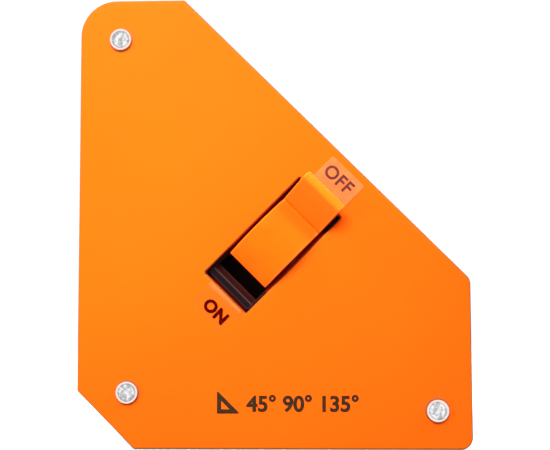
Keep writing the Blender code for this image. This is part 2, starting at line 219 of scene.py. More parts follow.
def arc(radius, start, end, steps):
    """Points of an arc about the origin, where angle 0 is along +Y and grows towards +X."""
    angles = [start + (end - start) * i / steps for i in range(steps + 1)]
    return [(radius * math.sin(a), radius * math.cos(a)) for a in angles]


def rounded(corners, steps=8):
    """Outline through (x, y, radius) corners, each rounded to its own radius."""
    outline = []
    for i, (x, y, radius) in enumerate(corners):
        if radius == 0:
            outline.append((x, y))
            continue
        here = Vector((x, y))
        before = (Vector(corners[i - 1][:2]) - here).normalized()
        after = (Vector(corners[(i + 1) % len(corners)][:2]) - here).normalized()
        half_angle = before.angle(after) / 2
        center = here + (before + after).normalized() * radius / math.sin(half_angle)
        reach = radius / math.tan(half_angle)
        first = (here + before * reach - center).normalized()
        last = (here + after * reach - center).normalized()
        for k in range(steps + 1):
            outline.append(tuple(center + first.slerp(last, k / steps) * radius))
    return outline


def shrunk(outline, distance):
    """An anticlockwise outline moved inwards by distance; a hole is grown with a negative one."""
    moved = []
    for i, (x, y) in enumerate(outline):
        here = Vector((x, y))
        to_here = (here - Vector(outline[i - 1])).normalized()
        onwards = (Vector(outline[(i + 1) % len(outline)]) - here).normalized()
        first = Vector((-to_here.y, to_here.x))
        second = Vector((-onwards.y, onwards.x))
        moved.append(tuple(here + (first + second) * distance / (1 + first.dot(second))))
    return moved


def plate_corners():
    """Corners of the side plates in x and z with their radii, anticlockwise from the chamfer's foot."""
    left, right = PLATE_LOW.x, PLATE_HIGH.x
    bottom, top = PLATE_LOW.z, PLATE_HIGH.z
    return [
        (left + WELD_CHAMFER, bottom, SMALL_RADIUS),
        (right, bottom, RIGHT_RADIUS),
        (right, bottom + RIGHT_EDGE, RIGHT_RADIUS),
        (left + TOP_EDGE, top, SMALL_RADIUS),
        (left, top, TOP_LEFT_RADIUS),
        (left, bottom + WELD_CHAMFER, SMALL_RADIUS),
    ]


def plate_outline():
    """Outline of the side plates."""
    return rounded(plate_corners(), 16)


def frame_opening():
    """Outline of the room inside the edge frame."""
    corners = plate_corners()
    places = shrunk([(x, y) for x, y, radius in corners], FRAME_WALL)
    radii = [max(radius - FRAME_WALL, SMALL_RADIUS) for x, y, radius in corners]
    return rounded([(x, y, radius) for (x, y), radius in zip(places, radii)], 16)


def slot_outline():
    """Outline of the lever's slot in x and z, anticlockwise."""
    half_length, half_width = SLOT_LENGTH / 2, SLOT_WIDTH / 2
    corners = []
    for i, j in ((-1, 1), (1, 1), (1, -1), (-1, -1)):
        local = Vector((SLOT_SHIFT + i * half_length, 0, j * half_width))
        world = ROTOR @ local
        corners.append((world.x, world.z, SLOT_CORNER))
    return rounded(corners, 4)


def rivet_spot(node):
    """Middle of a rivet in x and z."""
    low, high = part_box(node)
    return ((low.x + high.x) / 2, (low.z + high.z) / 2)


def rivet_reach(node):
    """Widest radius of a rivet's front half."""
    vertices = frame["nodes"][node].data.vertices
    x, z = rivet_spot(node)
    return max(math.hypot(v.co.x - x, v.co.z - z) for v in vertices if v.co.y < 0)


# ---------------------------------------------------------------- meshes

def edge_levels(front, back, radius, steps=4):
    """(inset, place) pairs down a wall whose two edges are rounded."""
    sign = 1 if back > front else -1
    levels = []
    for i in range(steps + 1):
        angle = math.pi / 2 * i / steps
        levels.append((radius * (1 - math.sin(angle)), front + sign * radius * (1 - math.cos(angle))))
    for i in range(steps, -1, -1):
        angle = math.pi / 2 * i / steps
        levels.append((radius * (1 - math.sin(angle)), back - sign * radius * (1 - math.cos(angle))))
    return levels


def loft(name, outer, holes, levels, to_world, material):
    """A flat body between two caps, with rounded edges round its outline and its holes."""
    mesh = bpy.data.meshes.new(name)
    body = bmesh.new()
    loops = [(outer, 1)] + [(hole, -1) for hole in holes]
    grid = []
    for outline, side in loops:
        rows = []
        for inset, height in levels:
            points = shrunk(outline, side * inset)
            rows.append([body.verts.new(to_world(x, y, height)) for x, y in points])
        grid.append(rows)
        for upper, lower in zip(rows, rows[1:]):
            for i in range(len(upper)):
                body.faces.new((upper[i - 1], upper[i], lower[i], lower[i - 1]))
    for level in (0, -1):
        flat = [vert for rows in grid for vert in rows[level]]
        inset = levels[level][0]
        shapes = [[Vector((x, y, 0)) for x, y in shrunk(outline, side * inset)] for outline, side in loops]
        for a, b, c in tessellate_polygon(shapes):
            body.faces.new((flat[a], flat[b], flat[c]))
    bmesh.ops.recalc_face_normals(body, faces=body.faces)
    body.to_mesh(mesh)
    body.free()
    return dressed(name, mesh, material)


def dressed(name, mesh, material, sharp=40):
    """An object with smooth shading whose flat faces stay flat."""
    mesh.materials.append(material)
    mesh.shade_smooth()
    mesh.set_sharp_from_angle(angle=math.radians(sharp))
    piece = bpy.data.objects.new(name, mesh)
    bpy.context.scene.collection.objects.link(piece)
    weighted = piece.modifiers.new("Weighted normals", "WEIGHTED_NORMAL")
    weighted.keep_sharp = True
    return piece


def revolved(name, profile, material, shape, steps=96):
    """A closed body of (radius, height) points turned about the front axis, each then moved by shape."""
    mesh = bpy.data.meshes.new(name)
    body = bmesh.new()
    rows = []
    for radius, height in profile:
        if radius == 0:
            rows.append([body.verts.new(shape(FRONT * height, 0.0))])
            continue
        row = []
        for i in range(steps):
            turn = 2 * math.pi * i / steps
            out = Vector((math.cos(turn), 0, math.sin(turn)))
            row.append(body.verts.new(shape(out * radius + FRONT * height, radius)))
        rows.append(row)
    for upper, lower in zip(rows, rows[1:]):
        for i in range(steps):
            above = upper if len(upper) == 1 else [upper[i - 1], upper[i]]
            below = lower if len(lower) == 1 else [lower[i], lower[i - 1]]
            body.faces.new(above + below)
    bmesh.ops.recalc_face_normals(body, faces=body.faces)
    body.to_mesh(mesh)
    body.free()
    return dressed(name, mesh, material, 60)


# ---------------------------------------------------------------- materials

class Nodes:
    """Short calls for building a node material."""

    def __init__(self, name, roughness, metallic=0.0):
        self.material = bpy.data.materials.new(name)
        self.material.use_nodes = True
        self.tree = self.material.node_tree
        self.shader = self.tree.nodes["Principled BSDF"]
        self.shader.inputs["Roughness"].default_value = roughness
        self.shader.inputs["Metallic"].default_value = metallic
        self.place = self.add("ShaderNodeTexCoord").outputs["Object"]

    def add(self, kind, **settings):
        """A node with some of its settings."""
        node = self.tree.nodes.new(kind)
        for key, value in settings.items():
            setattr(node, key, value)
        return node

    def put(self, value, socket):
        """Link an output to a socket, or set the socket's value."""
        if hasattr(value, "links"):
            self.tree.links.new(value, socket)
        else:
            socket.default_value = value

    def noise(self, scale, detail=2.0, roughness=0.5, stretch=None):
        """Noise of about scale features to the metre; stretch multiplies the three axes first."""
        node = self.add("ShaderNodeTexNoise")
        place = self.place
        if stretch:
            mapping = self.add("ShaderNodeMapping")
            self.put(place, mapping.inputs["Vector"])
            mapping.inputs["Scale"].default_value = stretch
            place = mapping.outputs["Vector"]
        self.put(place, node.inputs["Vector"])
        node.inputs["Scale"].default_value = scale
        node.inputs["Detail"].default_value = detail
        node.inputs["Roughness"].default_value = roughness
        return node.outputs["Fac"]

    def ramp(self, value, low, high, from_value=0.0, to_value=1.0):
        """value mapped from the range low..high to from_value..to_value."""
        node = self.add("ShaderNodeMapRange")
        self.put(value, node.inputs["Value"])
        node.inputs["From Min"].default_value = low
        node.inputs["From Max"].default_value = high
        node.inputs["To Min"].default_value = from_value
        node.inputs["To Max"].default_value = to_value
        return node.outputs["Result"]

    def mix(self, factor, first, second):
        """A blend of two colours."""
        node = self.add("ShaderNodeMix", data_type="RGBA")
        self.put(factor, node.inputs["Factor"])
        self.put(first, node.inputs["A"])
        self.put(second, node.inputs["B"])
        return node.outputs["Result"]

    def axis(self, index):
        """One coordinate of the place, in metres."""
        node = self.add("ShaderNodeSeparateXYZ")
        self.put(self.place, node.inputs["Vector"])
        return node.outputs[index]

    def math(self, operation, first, second=0.0):
        """One arithmetic step."""
        node = self.add("ShaderNodeMath", operation=operation)
        self.put(first, node.inputs[0])
        self.put(second, node.inputs[1])
        return node.outputs["Value"]

    def away(self, x=0.0, z=0.0):
        """Distance of the place from a line through x and z that faces the front."""
        off_x = self.math("SUBTRACT", self.axis(0), x)
        off_z = self.math("SUBTRACT", self.axis(2), z)
        square = self.math("ADD", self.math("MULTIPLY", off_x, off_x), self.math("MULTIPLY", off_z, off_z))
        return self.math("SQRT", square)

    def along(self, direction):
        """Distance of the place from the lever's pivot along a direction."""
        step = self.add("ShaderNodeVectorMath", operation="SUBTRACT")
        self.put(self.place, step.inputs[0])
        step.inputs[1].default_value = tuple(PIVOT)
        product = self.add("ShaderNodeVectorMath", operation="DOT_PRODUCT")
        self.put(step.outputs["Vector"], product.inputs[0])
        product.inputs[1].default_value = tuple(direction)
        return product.outputs["Value"]

    def band(self, value, middle, half_width, fade):
        """1 within half_width of middle, falling to 0 over fade."""
        away = self.math("ABSOLUTE", self.math("SUBTRACT", value, middle))
        return self.ramp(away, half_width, half_width + fade, 1.0, 0.0)

    def rounding(self):
        """1 on the rounded edges between front or back faces and side faces, 0 on the flat ones."""
        normal = self.add("ShaderNodeSeparateXYZ")
        self.put(self.add("ShaderNodeTexCoord").outputs["Normal"], normal.inputs[0])
        facing = self.math("ABSOLUTE", normal.outputs[1])
        return self.math("MINIMUM", self.ramp(facing, 0.985, 0.9), self.ramp(facing, 0.02, 0.12))

    def bump(self, height, distance, below=None):
        """A bump of height times distance, in metres, over another normal."""
        node = self.add("ShaderNodeBump")
        self.put(height, node.inputs["Height"])
        node.inputs["Distance"].default_value = distance
        node.inputs["Strength"].default_value = 1.0
        if below:
            self.put(below, node.inputs["Normal"])
        self.put(node.outputs["Normal"], self.shader.inputs["Normal"])
        return node.outputs["Normal"]

    def set(self, **inputs):
        """Set or link inputs of the Principled shader; an underscore stands for a space."""
        for key, value in inputs.items():
            self.put(value, self.shader.inputs[key.replace("_", " ")])
        return self.material


def powder_coat():
    """Semi-gloss orange powder coat with faint orange peel, painted shade on its rounded edges and a painted
    shadow ring round each rivet.
    """
    nodes = Nodes("powder_coat_orange", 0.34)
    cloud = nodes.noise(28, 3)
    tone = nodes.mix(nodes.ramp(cloud, 0.3, 0.7), (0.80, 0.088, 0.0026, 1), (0.82, 0.094, 0.0030, 1))
    speck = nodes.noise(2600, 1)
    tone = nodes.mix(nodes.ramp(speck, 0.66, 0.74, 0, 0.2), tone, (0.70, 0.08, 0.002, 1))
    # Painted shadow ring on the plate round each rivet
    for node in RIVETS:
        reach = rivet_reach(node)
        away = nodes.away(*rivet_spot(node))
        ring = nodes.ramp(away, reach + RIVET_SHADOW_FADE[0], reach + RIVET_SHADOW_FADE[1], 1.0, 0.0)
        tone = nodes.mix(ring, tone, (0.19, 0.080, 0.038, 1))
    # Painted shade on the rounded edges, where the surface turns away from the front
    tone = nodes.mix(nodes.rounding(), tone, (0.23, 0.068, 0.011, 1))
    peel = nodes.bump(nodes.noise(900, 2, 0.45), 0.000012)
    nodes.bump(nodes.noise(140, 2, 0.5), 0.00003, peel)
    roughness = nodes.ramp(nodes.noise(420, 2), 0.3, 0.7, 0.30, 0.38)
    nodes.set(Base_Color=tone, Roughness=roughness, Specular_IOR_Level=0.17)
    return nodes.set(Specular_Tint=(1.0, 0.55, 0.25, 1))


def lever_plastic():
    """Moulded orange plastic that lets a little light through, with painted light on the tab, painted highlights
    on its tip and side edges, and a band of painted shade behind the tab.
    """
    nodes = Nodes("lever_plastic_orange", 0.36)
    flow = nodes.noise(160, 2, 0.5, (1, 0.35, 1))
    tone = nodes.mix(nodes.ramp(flow, 0.3, 0.7), (0.84, 0.098, 0.0022, 1), (0.88, 0.110, 0.0030, 1))
    tab = nodes.along(TAB_LINE)
    # Painted light on the tab beyond its root
    tone = nodes.mix(nodes.ramp(tab, *TAB_PAINTED_LIGHT_IN, 0.0, 0.45), tone, (1.0, 0.150, 0.006, 1))
    over = nodes.along(TAB_CROSS)
    # Painted highlight on the tab's tip, stronger towards one side
    tip = nodes.ramp(tab, *TIP_PAINTED_HIGHLIGHT_IN)
    end = nodes.math("MULTIPLY", tip, nodes.ramp(over, -0.0016, 0.0012, 0.25, 1.0))
    tone = nodes.mix(end, tone, (1.0, 0.165, 0.008, 1))
    # Painted shade in a band on the drum behind the tab
    root = nodes.ramp(tab, *CREASE_PAINTED_SHADE_IN, 0.0, 0.5)
    crease = nodes.math("MULTIPLY", nodes.band(over, *CREASE_PAINTED_SHADE), root)
    tone = nodes.mix(crease, tone, (0.80, 0.066, 0.0030, 1))
    # Painted highlight along the side edges of the front
    side = nodes.math("ABSOLUTE", nodes.along(SHAFT_LINE))
    edge = nodes.band(side, LEVER_WIDTH / 2 - 0.0003, 0.0001, 0.00015)
    tone = nodes.mix(nodes.math("MULTIPLY", edge, 0.15), tone, (0.95, 0.26, 0.06, 1))
    nodes.bump(nodes.noise(2200, 2, 0.5), 0.000006)
    roughness = nodes.ramp(nodes.noise(700, 2), 0.3, 0.7, 0.33, 0.42)
    nodes.set(Base_Color=tone, Roughness=roughness, Subsurface_Weight=0.35, Specular_IOR_Level=0.14)
    nodes.set(Specular_Tint=(1.0, 0.6, 0.3, 1))
    nodes.shader.inputs["Subsurface Radius"].default_value = (1.0, 0.5, 0.1)
    nodes.shader.inputs["Subsurface Scale"].default_value = 0.0025
    return nodes.material


def black_nylon():
    """Moulded black nylon with painted highlights on its ridges and lip, and painted red light, reflected from the
    coat, on and round its lip.
    """
    nodes = Nodes("black_nylon", 0.5)
    cloud = nodes.noise(500, 4, 0.65)
    tone = nodes.mix(nodes.ramp(cloud, 0.45, 0.75), (0.022, 0.0020, 0.0010, 1), (0.034, 0.0045, 0.0030, 1))
    place = nodes.along(ALONG)
    length = nodes.math("ABSOLUTE", place)
    front = nodes.ramp(nodes.along(FRONT), *HOUSING_FRONT_IN)
    # The flat ledges beyond the sloped rims, the slopes, and painted highlights on the ridges at their edges
    ledge = nodes.ramp(length, RIM_TOP_HALF_LENGTH - 0.0001, RIM_TOP_HALF_LENGTH)
    tone = nodes.mix(nodes.math("MULTIPLY", ledge, 0.9), tone, (0.0035, 0.0025, 0.0040, 1))
    slope = nodes.band(length, (RIM_TOP_HALF_LENGTH + RIM_FOOT_HALF_LENGTH) / 2, 0.0007, 0.0001)
    tone = nodes.mix(nodes.math("MULTIPLY", slope, 0.6), tone, (0.018, 0.0040, 0.0030, 1))
    for middle, width, share in RIDGE_HIGHLIGHTS:
        ridge_highlight = nodes.math("MULTIPLY", nodes.band(length, middle, width, 0.00012), front)
        tone = nodes.mix(nodes.math("MULTIPLY", ridge_highlight, share), tone, (0.040, 0.022, 0.022, 1))
    # The lip along the opening's sides and the groove outside it: painted red light reflected from the coat,
    # brightest on the shaded side beside the drum, duller past it, with a painted highlight on the lip past the
    # drum
    across = nodes.along(SHAFT_LINE)
    side = nodes.math("ABSOLUTE", across)
    lip = CAVITY_HALF_WIDTH + LIP_WIDTH
    start = SLOT_SHIFT - SLOT_LENGTH / 2 + LIP_END
    end = SLOT_SHIFT + SLOT_LENGTH / 2 - LIP_END
    gap = nodes.math("MAXIMUM", nodes.ramp(side, lip, lip + 0.0001), nodes.ramp(place, start, start - 0.0001))
    gap = nodes.math("MAXIMUM", gap, nodes.ramp(place, end, end + LIP_END))
    rim = nodes.math("MULTIPLY", nodes.band(side, CAVITY_HALF_WIDTH + 0.00012, 0.0001, 0.00005), front)
    beside = nodes.ramp(length, *DRUM_COVER)
    # Painted red reflected light, stronger on the side in the drum's shadow; the lip gets a painted highlight past
    # the drum
    painted_glow = nodes.mix(nodes.ramp(across, -lip, lip), (0.20, 0.004, 0.001, 1), (1.0, 0.010, 0.001, 1))
    painted_lip_light = nodes.mix(beside, (0.050, 0.016, 0.018, 1), painted_glow)
    tone = nodes.mix(nodes.math("MULTIPLY", rim, 0.6), tone, painted_lip_light)
    tone = nodes.mix(gap, tone, nodes.mix(beside, (0.11, 0.004, 0.001, 1), painted_glow))
    gap = nodes.math("MAXIMUM", gap, nodes.math("MULTIPLY", rim, beside))
    nodes.bump(nodes.noise(3500, 2, 0.5), 0.000012)
    nodes.set(Base_Color=tone, Roughness=nodes.ramp(nodes.noise(900, 3, 0.6), 0.3, 0.7, 0.30, 0.42))
    nodes.set(Specular_IOR_Level=nodes.math("MULTIPLY", nodes.math("SUBTRACT", 1.0, gap), 0.11))
    return nodes.set(Specular_Tint=(1.0, 0.62, 0.55, 1))


def cast_aluminium():
    """Die-cast aluminium, milled along the edges, with fine grain and tool lines."""
    nodes = Nodes("cast_aluminium", 0.36, 1.0)
    grain = nodes.noise(1500, 3, 0.6)
    lines = nodes.noise(300, 3, 0.6, (1, 14, 1))
    patch = nodes.noise(45, 3)
    tone = nodes.mix(nodes.ramp(patch, 0.3, 0.7), (0.60, 0.61, 0.62, 1), (0.70, 0.705, 0.71, 1))
    tone = nodes.mix(nodes.ramp(lines, 0.55, 0.75, 0, 0.4), tone, (0.46, 0.465, 0.47, 1))
    scored = nodes.bump(lines, 0.00002)
    nodes.bump(grain, 0.00001, scored)
    return nodes.set(Base_Color=tone, Roughness=nodes.ramp(grain, 0.3, 0.7, 0.28, 0.45))


def bright_steel():
    """Bright zinc-plated steel with fine pits."""
    nodes = Nodes("bright_steel", 0.2, 1.0)
    pits = nodes.noise(2400, 4, 0.65)
    cloud = nodes.noise(700, 2)
    tone = nodes.mix(nodes.ramp(cloud, 0.3, 0.7), (0.80, 0.80, 0.82, 1), (0.93, 0.93, 0.94, 1))
    nodes.bump(pits, 0.00002)
    return nodes.set(Base_Color=tone, Roughness=nodes.ramp(pits, 0.3, 0.7, 0.16, 0.34))


def rivet_steel(seed):
    """Bright rivet steel about the rivet's own middle: polished rim, painted shade in the groove, cloudy hammered
    dimple.
    """
    nodes = Nodes(f"rivet_steel_{seed}", 0.16, 1.0)
    away = nodes.away()
    shift = nodes.add("ShaderNodeMapping")
    nodes.put(nodes.place, shift.inputs["Vector"])
    shift.inputs["Location"].default_value = (0.013 * seed, 0, 0.007 * seed)
    nodes.place = shift.outputs["Vector"]
    cloud = nodes.noise(1100, 3, 0.6)
    tone = nodes.mix(nodes.ramp(cloud, 0.41, 0.57), (0.50, 0.50, 0.53, 1), (1.0, 1.0, 1.0, 1))
    # Painted shade in the groove inside the rim
    inner, outer = nodes.ramp(away, *RIVET_GROOVE_SHADE_IN), nodes.ramp(away, *RIVET_GROOVE_SHADE_OUT, 1.0, 0.0)
    groove = nodes.math("MINIMUM", inner, outer)
    tone = nodes.mix(nodes.math("MULTIPLY", groove, 0.35), tone, (0.22, 0.22, 0.24, 1))
    tone = nodes.mix(nodes.ramp(away, *RIVET_RIM_IN), tone, (0.94, 0.91, 0.85, 1))
    hammered = nodes.bump(nodes.noise(1500, 2, 0.5), 0.00004)
    nodes.bump(nodes.noise(6000, 3, 0.6), 0.000008, hammered)
    return nodes.set(Base_Color=tone, Roughness=nodes.ramp(cloud, 0.3, 0.7, 0.12, 0.2))


def ground_steel():
    """Plain ground steel with grinding lines, a little darker where oil has stayed."""
    nodes = Nodes("ground_steel", 0.4, 1.0)
    lines = nodes.noise(500, 3, 0.6, (1, 1, 9))
    oil = nodes.noise(90, 3)
    tone = nodes.mix(nodes.ramp(oil, 0.35, 0.65), (0.34, 0.335, 0.33, 1), (0.46, 0.46, 0.465, 1))
    nodes.bump(lines, 0.00001)
    return nodes.set(Base_Color=tone, Roughness=nodes.ramp(lines, 0.3, 0.7, 0.32, 0.5))


def plated(name, dark, light, low, high):
    """A plated or plain bright metal, cloudy between two tones."""
    nodes = Nodes(name, low, 1.0)
    cloud = nodes.noise(220, 3)
    grain = nodes.noise(1900, 2)
    tone = nodes.mix(nodes.ramp(cloud, 0.3, 0.7), (*dark, 1), (*light, 1))
    nodes.bump(grain, 0.000008)
    return nodes.set(Base_Color=tone, Roughness=nodes.ramp(grain, 0.3, 0.7, low, high))


def label_film(name, tint, cover, strip=None):
    """Milky label film that hides cover of the coat, with a paler wedge along the slot if strip is given."""
    nodes = Nodes(name, 0.3)
    milk = nodes.noise(400, 3)
    tone = nodes.mix(nodes.ramp(milk, 0.3, 0.7), (*tint, 1), (*[min(1.0, c * 1.12) for c in tint], 1))
    alpha = nodes.ramp(milk, 0.3, 0.7, cover * 0.9, min(1.0, cover * 1.08))
    if strip:
        edge, start, end, width, strip_cover = strip
        below = nodes.math("SUBTRACT", edge, nodes.along(ALONG))
        reach = nodes.ramp(nodes.along(SHAFT_LINE), start, end, width, width * 0.65)
        share = nodes.math("DIVIDE", below, reach)
        alpha = nodes.math("MAXIMUM", alpha, nodes.ramp(share, 0.4, 1.1, strip_cover, 0.0))
    nodes.bump(nodes.noise(900, 2), 0.000003)
    return nodes.set(Base_Color=tone, Alpha=alpha, Roughness=0.4, Specular_IOR_Level=0.04)


def print_ink(name, dark, light):
    """Screen-printed ink with slightly uneven cover."""
    nodes = Nodes(name, 0.45)
    cover = nodes.noise(1500, 3, 0.6)
    tone = nodes.mix(nodes.ramp(cover, 0.35, 0.75), (*dark, 1), (*light, 1))
    nodes.bump(cover, 0.000004)
    roughness = nodes.ramp(cover, 0.3, 0.7, 0.5, 0.65)
    return nodes.set(Base_Color=tone, Roughness=roughness, Specular_IOR_Level=0.01)


def studio_paper():
    """Pale paper that glows a little, so that it stays pale all the way back."""
    nodes = Nodes("studio_paper", 0.85)
    tone = nodes.mix(nodes.ramp(nodes.noise(3, 2), 0.3, 0.7), (0.54, 0.54, 0.54, 1), (0.56, 0.56, 0.56, 1))
    nodes.bump(nodes.noise(300, 2), 0.00002)
    return nodes.set(Base_Color=tone, Emission_Color=(1, 1, 1, 1), Emission_Strength=0.5)


# ---------------------------------------------------------------- pieces

def upright(x, y, height):
    """A plate's x and z with its place along -Y."""
    return Vector((x, -height, y))


def on_rotor(x, y, height):
    """A point of the lever's own frame."""
    return ROTOR @ Vector((x, y, height))


def make_plates(material):
    """Both side plates with coated, rounded edges."""
    holes = [circle(RIVET_BORE, rivet_spot(node), 48) for node in RIVETS]
    front = edge_levels(-PLATE_LOW.y, -PLATE_HIGH.y, COAT_EDGE)
    back = edge_levels(-BACK_LOW.y, -BACK_HIGH.y, COAT_EDGE)
    sets = (
        ("front_plate", "front_side_plate", [slot_outline(), *holes], front),
        ("back_plate", "back_side_plate", holes, back),
    )
    for node, name, openings, levels in sets:
        plate = loft(name, plate_outline(), openings, levels, upright, material)
        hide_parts(node)
        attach(plate, "square")


def make_edge_frame(material):
    """The aluminium frame round the edges."""
    levels = edge_levels(-RING_LOW.y, -RING_HIGH.y, FRAME_EDGE, 3)
    ring = loft("edge_closing_frame", plate_outline(), [frame_opening()], levels, upright, material)
    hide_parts("edge_frame")
    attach(ring, "square")


def make_rivet(node, seed):
    """A rivet with a rolled rim, an uneven dimple in front and a low dome at the back."""
    x, z = rivet_spot(node)
    low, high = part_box(node)
    reach = rivet_reach(node)
    crown, tail = -low.y, -high.y
    front, back = -PLATE_LOW.y + RIVET_LIFT, -BACK_HIGH.y - RIVET_LIFT
    dome = (high.x - low.x) / 2
    profile = [(reach * share, crown - depth) for share, depth in RIVET_PROFILE]
    profile += [(reach * RIVET_FOOT, front), (RIVET_SHANK, front)]
    profile += [(RIVET_SHANK, back), (dome * RIVET_FOOT, back)]
    edge = back - RIVET_DOME_EDGE
    for i in range(8):
        angle = math.pi / 2 * i / 8
        profile.append((dome * math.cos(angle), edge + (tail - edge) * math.sin(angle)))
    profile.append((0.0, tail))

    def uneven(point, radius):
        if point.y > 0:
            return point
        depth = max(0.0, 1.0 - radius / (reach * DIMPLE_SHARE))
        spot = point * DENT_SCALE + DENT_STEP * seed
        return point + FRONT * depth * DENT_DEPTH * noise.noise(spot)

    rivet = revolved("headed_" + node, profile, rivet_steel(seed), uneven)
    rivet.location = (x, 0, z)
    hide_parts(node)
    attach(rivet, "square")


def lever_outline():
    """Side view of the rocker with the thumb tab along +Y, anticlockwise."""
    root, tip = TAB_ROOT_THICKNESS / 2, TAB_TIP_THICKNESS / 2
    root_angle = math.asin(root / DRUM_RADIUS)
    drum = arc(DRUM_RADIUS, -DRUM_HALF_ANGLE, -root_angle, 56)
    # The arc's points next to the rounded drum end and to the crease make room for them
    left = [(*drum[0], DRUM_END_RADIUS)] + [(x, y, 0.0) for x, y in drum[3:-3]]
    crease = Vector(drum[-1])
    along_drum = (Vector(drum[-4]) - crease).normalized() * CREASE
    along_tab = (Vector((-tip, TAB_TIP)) - crease).normalized() * CREASE
    left.append((*(crease + along_drum), 0.0))
    left.append((*(crease * (1 - CREASE / crease.length)), 0.0))
    left.append((*(crease + along_tab), 0.0))
    left.append((-tip, TAB_TIP, TAB_TIP_RADIUS))
    right = [(-x, y, radius) for x, y, radius in reversed(left)]
    hub = arc(HUB_RADIUS, *HUB_ARC, 28)
    outline = rounded(left + right + [(x, y, 0.0) for x, y in hub], 8)
    return outline[::-1]


def make_lever(material):
    """The orange rocker lever."""
    turn = Matrix.Rotation(-OFF_LEAN, 4, "Z")
    half = LEVER_WIDTH / 2
    levels = edge_levels(half, -half, LEVER_EDGE, 4)
    bore = circle(SHAFT_RADIUS + RUNNING_GAP, steps=48)

    def leaned(x, y, height):
        return ROTOR @ turn @ Vector((x, y, height))

    lever = loft("rocker_lever", lever_outline(), [bore], levels, leaned, material)
    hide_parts("switch_lever")
    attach(lever, "rotor")


def carved(name, base, cutters, material, rounding):
    """base with the cutters' shapes taken out and its sharp edges rounded; the cutters are then removed."""
    for cutter in cutters:
        cut = base.modifiers.new("Cut", "BOOLEAN")
        cut.operation = "DIFFERENCE"
        cut.solver = "EXACT"
        cut.object = cutter
    bpy.context.view_layer.update()
    graph = bpy.context.evaluated_depsgraph_get()
    mesh = bpy.data.meshes.new_from_object(base.evaluated_get(graph))
    for used in (base, *cutters):
        bpy.data.objects.remove(used)
    mesh.materials.clear()
    piece = dressed(name, mesh, material)
    bevel = piece.modifiers.new("Rounding", "BEVEL")
    bevel.width = rounding
    bevel.segments = 2
    bevel.limit_method = "ANGLE"
    bevel.angle_limit = math.radians(50)
    piece.modifiers.move(1, 0)
    return piece


def make_housing(material):
    """The black housing: a box round the lever, open to the front between two sloped rims."""
    low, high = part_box("switch_housing")
    top = -low.y
    # The housing lies at 45 degrees, so its box holds both its length and its width in x
    half_length = (high.x - low.x) / math.sqrt(2) - HOUSING_HALF_WIDTH
    box = [(-half_length, -top), (half_length, -top), (half_length, top), (-half_length, top)]
    levels = edge_levels(HOUSING_HALF_WIDTH, -HOUSING_HALF_WIDTH, HOUSING_EDGE, 2)
    base = loft("housing_box", box, [], levels, on_rotor, material)
    foot = top - RIM_DEPTH
    half = [
        (CAVITY_HALF_LENGTH, HOUSING_FLOOR - top), (CAVITY_HALF_LENGTH, foot),
        (RIM_FOOT_HALF_LENGTH, foot), (RIM_TOP_HALF_LENGTH, top), (RIM_TOP_HALF_LENGTH, 2 * top),
    ]
    cavity = half + [(-x, y) for x, y in reversed(half)]
    walls = [(0, CAVITY_HALF_WIDTH), (0, -CAVITY_HALF_WIDTH)]
    opening = loft("housing_cavity", cavity, [], walls, on_rotor, material)
    reach = 2 * HOUSING_HALF_WIDTH
    side = CAVITY_HALF_WIDTH + LIP_WIDTH
    start, end = SLOT_SHIFT - SLOT_LENGTH / 2, SLOT_SHIFT + SLOT_LENGTH / 2
    lip = [
        (start + LIP_END, -side, LIP_CORNER), (end - LIP_END, -side, LIP_CORNER),
        (end - LIP_END, side, LIP_CORNER), (start + LIP_END, side, LIP_CORNER),
    ]
    wide = HOUSING_HALF_WIDTH - GROOVE_WALL
    first, last = start - GROOVE_REACH, end + GROOVE_REACH
    moat = [(first, -wide), (last, -wide), (last, wide), (first, wide)]

    def from_front(x, y, height):
        return ROTOR @ Vector((x, height, -y))

    moat_levels = [(0.0, 2 * top), (0.0, top - LIP_DEPTH)]
    groove = loft("housing_groove", moat, [rounded(lip, 3)], moat_levels, from_front, material)
    way = circle(SHAFT_WAY_RADIUS, steps=48)
    shaft_way = loft("housing_shaft_way", way, [], [(0, reach), (0, -reach)], on_rotor, material)
    housing = carved("lever_housing", base, [opening, groove, shaft_way], material, CUT_EDGE)
    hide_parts("switch_housing")
    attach(housing, "square")


def lettering(name, words, size, place, material, weight, spacing=1.0):
    """Flat generic lettering, laid just over the front plate; weight thickens its strokes."""
    curve = bpy.data.curves.new(name, "FONT")
    curve.body = words
    curve.size = size
    curve.align_x = "CENTER"
    curve.align_y = "CENTER"
    curve.extrude = INK_THICKNESS / 2
    curve.bevel_depth = weight
    curve.bevel_resolution = 0
    curve.space_character = spacing
    text = bpy.data.objects.new(name, curve)
    bpy.context.scene.collection.objects.link(text)
    bpy.context.view_layer.update()
    mesh = bpy.data.meshes.new_from_object(text.evaluated_get(bpy.context.evaluated_depsgraph_get()))
    bpy.data.objects.remove(text)
    flatten = INK_THICKNESS / (INK_THICKNESS + 2 * weight)
    mesh.transform(place @ Matrix.Diagonal((1, 1, flatten, 1)))
    printed = dressed(name, mesh, material)
    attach(printed, "square")


